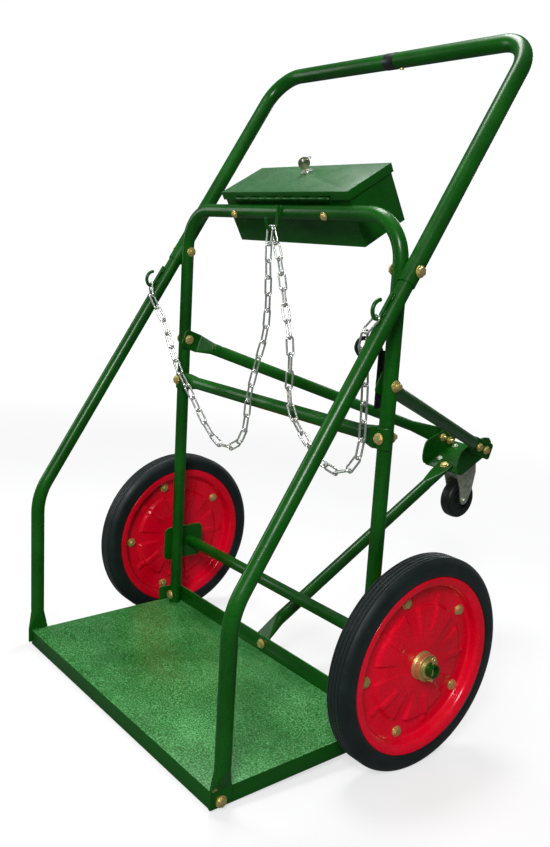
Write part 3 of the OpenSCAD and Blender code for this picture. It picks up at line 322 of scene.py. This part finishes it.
def press(node):
    """Blends the flattened ends of a CAD node's tube into its round part with modifiers."""
    piece = frame["nodes"][node]
    grid = piece.modifiers.new("grid", "REMESH")
    grid.mode = "VOXEL"
    grid.voxel_size = 1.3 * MM
    grid.use_smooth_shade = True
    ease = piece.modifiers.new("ease", "SMOOTH")
    ease.factor = 0.5
    ease.iterations = 10


# ------------------------------------------------------------------ mesh helpers

def add_piece(name, mesh_data, body, slot, look=None):
    piece = bpy.data.objects.new(name, mesh_data)
    bpy.context.scene.collection.objects.link(piece)
    dress(piece, look or slot)
    for polygon in mesh_data.polygons:
        polygon.use_smooth = True
    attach(piece, body)
    return piece


def grid_mesh(name, rows, wrap_rows=False, wrap_columns=True):
    """Mesh of quads through rows of points, closed round each row, and over the rows if asked."""
    mesh = bpy.data.meshes.new(name)
    width = len(rows[0])
    points = [p for row in rows for p in row]
    faces = []
    for i in range(len(rows) if wrap_rows else len(rows) - 1):
        low, high = i * width, (i + 1) % len(rows) * width
        for j in range(width if wrap_columns else width - 1):
            k = (j + 1) % width
            faces.append((low + j, low + k, high + k, high + j))
    mesh.from_pydata(points, [], faces)
    mesh.update()
    return mesh


def face_outward(mesh):
    work = bmesh.new()
    work.from_mesh(mesh)
    bmesh.ops.recalc_face_normals(work, faces=work.faces)
    work.to_mesh(mesh)
    work.free()


def smooth_step(low, high, value):
    t = min(1.0, max(0.0, (value - low) / (high - low)))
    return t * t * (3 - 2 * t)


def rounded(points, steps):
    """Smooth curve through points of an open outline."""
    out = []
    for i in range(len(points) - 1):
        a, b = points[max(i - 1, 0)], points[i]
        c, d = points[i + 1], points[min(i + 2, len(points) - 1)]
        for k in range(steps):
            t = k / steps
            out.append(tuple(
                0.5 * (2 * q + (r - p) * t + (2 * p - 5 * q + 4 * r - s) * t * t
                       + (3 * q - p - 3 * r + s) * t ** 3)
                for p, q, r, s in zip(a, b, c, d)))
    out.append(points[-1])
    return out


# ------------------------------------------------------------------ big wheels

TURN_STEPS = 300
# angle of one rim bolt about the axle, and how many bolts and ribs share the turn
BOLT_ANGLE = 199
SECTORS = 5
# outer face of a pressed rim half, in mm: radius, and distance out from the wheel's middle plane
RIM_FACE = ((21.4, 14.5), (28, 14.6), (36, 14.3), (54, 12.8), (78, 8.6), (100, 4.6), (113, 2.7),
            (128, 2.5), (141, 2.6), (144.5, 4.6), (146.3, 10), (148.2, 16.5), (152, 21.3), (158, 23.3),
            (163, 23.9), (165.8, 23.6), (166.7, 22.4), (166.4, 21.0), (165.0, 20.4))
# outside of a tyre's section, in mm: radius, and distance out from the middle plane
TYRE_SIDE = ((153, 14), (160, 15), (164.5, 17), (166.8, 20.2), (168.0, 23.2), (170.0, 24.4),
             (171.6, 24.5), (172.6, 25.0), (176, 25.0), (183, 24.8), (188.5, 23.9), (193.5, 21.6),
             (197.6, 18.4), (200.2, 15.6))
TREAD_RADIUS = 200.9
# places of the tread's grooves across the tyre, in mm
GROOVES = (12, 4, -4, -12)
# outer half of the hub's section, in mm: radius, and distance out from the middle plane
HUB_SECTION = ((14.2, 32.9), (15.6, 32.9), (16.0, 32.2), (16.1, 25.6), (20.4, 25.2), (23.0, 26.2),
               (23.3, 29.9), (23.8, 30.6), (24.5, 30.6), (25.0, 30.0), (25.0, 27.6), (23.9, 26.4),
               (23.9, 19.0), (24.6, 17.8), (26.2, 17.4), (26.6, 16.6), (26.6, 15.0))


def turned(angle_deg, radius, out, side, centre):
    """Point of a wheel at an angle about its axle, counted from straight down towards +Y."""
    a = math.radians(angle_deg)
    return (centre.x + side * out * MM,
            centre.y + radius * MM * math.sin(a),
            centre.z - radius * MM * math.cos(a))


def pressed_height(radius, angle_deg):
    """Height of the pressings over the rim's plain dished face, in mm."""
    spacing = 360 / SECTORS
    off = (angle_deg - BOLT_ANGLE) % spacing - spacing / 2
    across = abs(radius * math.sin(math.radians(off)))
    sector_edge = radius * math.sin(math.radians(29)) - 1
    pad = smooth_step(44, 62, radius) * (1 - smooth_step(107, 112, radius))
    pad *= 1 - smooth_step(sector_edge - 3.5, sector_edge + 1.5, across)
    pad_height = 1.2 + 5.4 * smooth_step(50, 110, radius)
    rib = smooth_step(63, 69, radius) * (1 - smooth_step(127, 132.5, radius))
    rib *= 1 - smooth_step(4.2, 8.2, across)
    return pad * pad_height + 3.4 * rib


def rim_half(name, body, node, side, centre):
    face = rounded(RIM_FACE, 5)
    rows = []
    for radius, out in face:
        row = []
        for k in range(TURN_STEPS):
            angle = 360 * k / TURN_STEPS
            lift = pressed_height(radius, angle) if radius < 140 else 0
            row.append(turned(angle, radius, out + lift, side, centre))
        rows.append(row)
    mesh = grid_mesh(name, rows)
    face_outward(mesh)
    piece = add_piece(name, mesh, body, "red_enamel")
    sheet = piece.modifiers.new("sheet", "SOLIDIFY")
    sheet.thickness = 1.8 * MM
    inward = mesh.polygons[10 * TURN_STEPS].normal.x * side
    sheet.offset = -1 if inward > 0 else 1
    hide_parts(node)
    return piece


def tyre_section():
    top = TREAD_RADIUS
    tread = [TYRE_SIDE[-1]]
    for t in GROOVES:
        half = [(top, 1.9), (top, 1.2), (top - 0.6, 0.9), (top - 2.1, 0.8), (top - 2.5, 0.4)]
        tread += [(r, t + o) for r, o in half] + [(r, t - o) for r, o in reversed(half)]
    outside = rounded(TYRE_SIDE, 3)
    return outside + tread[1:] + [(r, -o) for r, o in reversed(outside)]


def tyre(name, body, node, centre):
    rows = [[turned(360 * k / TURN_STEPS, radius, out, 1, centre) for k in range(TURN_STEPS)]
            for radius, out in tyre_section()]
    mesh = grid_mesh(name, rows, wrap_rows=True)
    face_outward(mesh)
    piece = add_piece(name, mesh, body, "tyre_rubber")
    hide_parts(node)


def hub(name, body, node, centre):
    half = list(HUB_SECTION)
    section = half + [(r, -o) for r, o in reversed(half)] + [(12.6, -32.9), (12.6, 32.9)]
    rows = [[turned(360 * k / 96, radius, out, 1, centre) for k in range(96)] for radius, out in section]
    mesh = grid_mesh(name, rows, wrap_rows=True)
    face_outward(mesh)
    piece = add_piece(name, mesh, body, "yellow_zinc")
    soft = piece.modifiers.new("round", "BEVEL")
    soft.width = 0.3 * MM
    soft.segments = 2
    soft.limit_method = "ANGLE"
    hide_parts(node)


def wheels():
    for side, label in ((-1, "left"), (1, "right")):
        low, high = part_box("tyre_" + label)
        centre = (low + high) / 2
        body = "wheel_" + label
        tyre("tyre_skin_" + label, body, "tyre_" + label, centre)
        rim_half("rim_pressing_outer_" + label, body, "rim_outer_" + label, side, centre)
        rim_half("rim_pressing_inner_" + label, body, "rim_inner_" + label, -side, centre)
        hub("hub_turned_" + label, body, "hub_" + label, centre)


# ------------------------------------------------------------------ weld beads

# the cart's forward lean, and the axle's height in metres before it leans
LEAN = math.radians(3.59)
AXLE_HEIGHT = 0.2


def leaned():
    """Carries a place given with the uprights vertical and the axle over the origin to the real cart."""
    low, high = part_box("axle_tube")
    upright = Matrix.Translation((0, 0, AXLE_HEIGHT))
    return Matrix.Translation((low + high) / 2) @ Matrix.Rotation(LEAN, 4, "X") @ upright.inverted()


def bead(name, path, radius, body="frame", closed=False):
    """Rippled weld bead along a path given in millimetres with the uprights vertical."""
    points = [leaned() @ (Vector(p) * MM) for p in path]
    count = len(points)
    lengths = [0.0]
    for a, b in zip(points, points[1:]):
        lengths.append(lengths[-1] + (b - a).length)
    rows = []
    for i, point in enumerate(points):
        before = points[i - 1] if i or closed else point
        after = points[(i + 1) % count] if i + 1 < count or closed else point
        along = (after - before).normalized()
        side = along.cross(Vector((0.31, 0.52, 0.79))).normalized()
        lift = along.cross(side)
        ripple = 0.86 + 0.14 * abs(math.sin(math.pi * lengths[i] / (1.9 * MM)))
        if not closed:
            ripple *= min(1.0, 0.35 + 0.9 * min(i, count - 1 - i) / 4)
        reach = radius * MM * ripple
        rows.append([tuple(point + reach * (side * math.cos(a) + lift * math.sin(a)))
                     for a in (2 * math.pi * k / 10 for k in range(10))])
    mesh = grid_mesh(name, rows, wrap_rows=closed)
    if not closed:
        work = bmesh.new()
        work.from_mesh(mesh)
        bmesh.ops.holes_fill(work, edges=work.edges, sides=12)
        work.to_mesh(mesh)
        work.free()
    face_outward(mesh)
    return add_piece(name, mesh, body, "green_enamel")


def line(start, end, step=0.6):
    a, b = Vector(start), Vector(end)
    count = max(6, int((b - a).length / step))
    return [tuple(a.lerp(b, k / count)) for k in range(count + 1)]


def ring_path(centre, radius, count=150):
    return [(centre[0], centre[1] + radius * math.cos(2 * math.pi * k / count),
             centre[2] + radius * math.sin(2 * math.pi * k / count)) for k in range(count)]


def slope_point(x, distance, forward):
    """Point in mm at a distance up the sloping part of a side tube, forward of its middle line."""
    tilt = math.radians(32.69)
    return (x,
            -387 + distance * math.sin(tilt) - forward * math.cos(tilt),
            362.6 + distance * math.cos(tilt) + forward * math.sin(tilt))


def welds():
    """Beads where brackets, axle and hooks are welded on, placed in mm with the uprights vertical."""
    leg_y, leg_r = -46.5, 13.5
    bracket_x, bracket_t = 339.6, 4
    side_tube_x = 355.5
    for side, label in ((-1, "left"), (1, "right")):
        for place, x in (("in", bracket_x - 0.4), ("out", bracket_x + bracket_t + 0.3)):
            bead(f"weld_axle_{place}_{label}", ring_path((side * x, 0, 200), 13.2), 1.7, closed=True)
        for place, dy in (("front", -4.5), ("back", 4.5)):
            x = side * (bracket_x - 0.9)
            bead(f"weld_bracket_{place}_{label}", line((x, leg_y + dy, 163), (x, leg_y + dy, 237)), 1.8)
        for place, off in (("in", -3.9), ("out", 3.9)):
            x = side * (side_tube_x + off)
            for end, low, high in (("low", 532, 545), ("high", 562, 577)):
                bead(f"weld_hook_{place}_{end}_{label}",
                     line(slope_point(x, low, 14.9), slope_point(x, high, 14.9)), 1.7)
    bar_front = leg_y - leg_r
    for label, x in (("left", 6.2), ("right", 13.8)):
        bead(f"weld_hook_center_{label}", line((x, bar_front - 1.2, 974), (x, bar_front - 1.2, 995)), 2.0)


# ------------------------------------------------------------------ stage, light and camera

# the camera, in metres, with the uprights vertical and the axle over the origin
CAMERA_PLACE = Vector((1.365, -1.1447, 0.9305))
CAMERA_TURN = math.radians(50.8)
CAMERA_DOWN = math.radians(11.8)
CAMERA_ROLL = math.radians(-3.4)
CAMERA_LENS = 37.32


def make_camera():
    forward = Vector((-math.sin(CAMERA_TURN) * math.cos(CAMERA_DOWN),
                      math.cos(CAMERA_TURN) * math.cos(CAMERA_DOWN), -math.sin(CAMERA_DOWN)))
    right = forward.cross(Vector((0, 0, 1))).normalized()
    down = forward.cross(right)
    rolled_right = right * math.cos(CAMERA_ROLL) + down * math.sin(CAMERA_ROLL)
    rolled_down = down * math.cos(CAMERA_ROLL) - right * math.sin(CAMERA_ROLL)
    pose = Matrix((rolled_right, -rolled_down, -forward)).transposed().to_4x4()
    pose.translation = CAMERA_PLACE
    data = bpy.data.cameras.new("photo_camera")
    data.lens = CAMERA_LENS
    data.sensor_width = 36
    camera = bpy.data.objects.new("photo_camera", data)
    camera.matrix_world = leaned() @ pose
    bpy.context.scene.collection.objects.link(camera)
    bpy.context.scene.camera = camera


def ray_kind(t, kind):
    """1 for rays of that kind, such as "Is Camera Ray", and 0 for the others."""
    return t.nodes.new("ShaderNodeLightPath").outputs[kind]


# metres from the origin: the floor's edge, and where it starts and ends fading to white
FLOOR_REACH = 14
FLOOR_WHITE_FROM = 1.2
FLOOR_WHITE_BY = 4.5


def make_floor():
    """Pale floor that keeps the cart's soft shadow and fades into the white backdrop."""
    ends = (-FLOOR_REACH, FLOOR_REACH)
    mesh = grid_mesh("floor", [[(x, y, -0.0005) for x in ends] for y in ends], wrap_columns=False)
    floor = bpy.data.objects.new("floor", mesh)
    bpy.context.scene.collection.objects.link(floor)
    t = Tree("pale_floor")
    paint = t.ramp(t.noise(0.6, 3), (0.3, (0.80, 0.80, 0.80)), (0.7, (0.84, 0.84, 0.84)))
    seen = t.mix(ray_kind(t, "Is Glossy Ray"), paint, (0.10, 0.11, 0.11))
    seen = t.mix(ray_kind(t, "Is Diffuse Ray"), seen, (0.40, 0.40, 0.40))
    t.surface(Base_Color=seen, Roughness=0.85)
    length = t.nodes.new("ShaderNodeVectorMath")
    length.operation = "LENGTH"
    t.links.new(t.place, length.inputs[0])
    fade = t.nodes.new("ShaderNodeMapRange")
    fade.interpolation_type = "SMOOTHSTEP"
    t.put(fade.inputs["Value"], length.outputs["Value"])
    for name, value in (("From Min", FLOOR_WHITE_FROM), ("From Max", FLOOR_WHITE_BY),
                        ("To Min", 0.62), ("To Max", 1.0)):
        t.put(fade.inputs[name], value)
    glow = t.nodes.new("ShaderNodeEmission")
    t.put(glow.inputs["Strength"], BACKDROP_LIGHT)
    blend = t.nodes.new("ShaderNodeMixShader")
    t.put(blend.inputs["Fac"], t.math("MULTIPLY", fade.outputs["Result"], ray_kind(t, "Is Camera Ray")))
    t.links.new(t.shader.outputs["BSDF"], blend.inputs[1])
    t.links.new(glow.outputs["Emission"], blend.inputs[2])
    t.links.new(blend.outputs["Shader"], t.nodes["Material Output"].inputs["Surface"])
    mesh.materials.append(t.material)


def area_light(name, place, target, size, power, tint=(1, 1, 1)):
    data = bpy.data.lights.new(name, "AREA")
    data.shape = "RECTANGLE"
    data.size, data.size_y = size
    data.energy = power
    data.color = tint
    lamp = bpy.data.objects.new(name, data)
    lamp.location = place
    lamp.rotation_mode = "QUATERNION"
    lamp.rotation_quaternion = (Vector(target) - Vector(place)).to_track_quat("-Z", "Y")
    bpy.context.scene.collection.objects.link(lamp)


# strength of the world's light for diffuse light, for reflections and as the camera sees it
ROOM_LIGHT = 0.22
REFLECTED_ROOM = 0.12
BACKDROP_LIGHT = 1.05


def make_light():
    """The camera sees a white backdrop, reflections a dark room with lamps, and the rest a dim room."""
    world = bpy.data.worlds.new("studio")
    world.use_nodes = True
    nodes, links = world.node_tree.nodes, world.node_tree.links
    background = nodes["Background"]
    background.inputs["Color"].default_value = (0.96, 0.98, 1.0, 1)
    path = nodes.new("ShaderNodeLightPath")
    strength = ROOM_LIGHT
    for kind, level in (("Is Glossy Ray", REFLECTED_ROOM), ("Is Camera Ray", BACKDROP_LIGHT)):
        choose = nodes.new("ShaderNodeMix")
        links.new(path.outputs[kind], choose.inputs["Factor"])
        if isinstance(strength, float):
            choose.inputs["A"].default_value = strength
        else:
            links.new(strength, choose.inputs["A"])
        choose.inputs["B"].default_value = level
        strength = choose.outputs["Result"]
    links.new(strength, background.inputs["Strength"])
    bpy.context.scene.world = world
    area_light("key", (2.2, -2.7, 2.5), (0, -0.1, 0.6), (0.9, 0.9), 105)
    area_light("top", (-0.6, -0.1, 3.1), (0, -0.1, 0.5), (1.8, 0.7), 70)
    area_light("fill", (-2.8, -1.9, 1.5), (0, -0.1, 0.6), (0.8, 1.6), 18)
    area_light("rear", (-1.2, 2.8, 1.9), (0, 0, 0.6), (0.5, 1.6), 16)
    bpy.context.scene.view_settings.view_transform = "Standard"


# ------------------------------------------------------------------ put together

dress_cad_nodes()
for soft_node, soft_width in SOFT_EDGES.items():
    soften(soft_node, soft_width)
for pressed_node in PRESSED_TUBES:
    press(pressed_node)
wheels()
welds()
make_floor()
make_light()
make_camera()
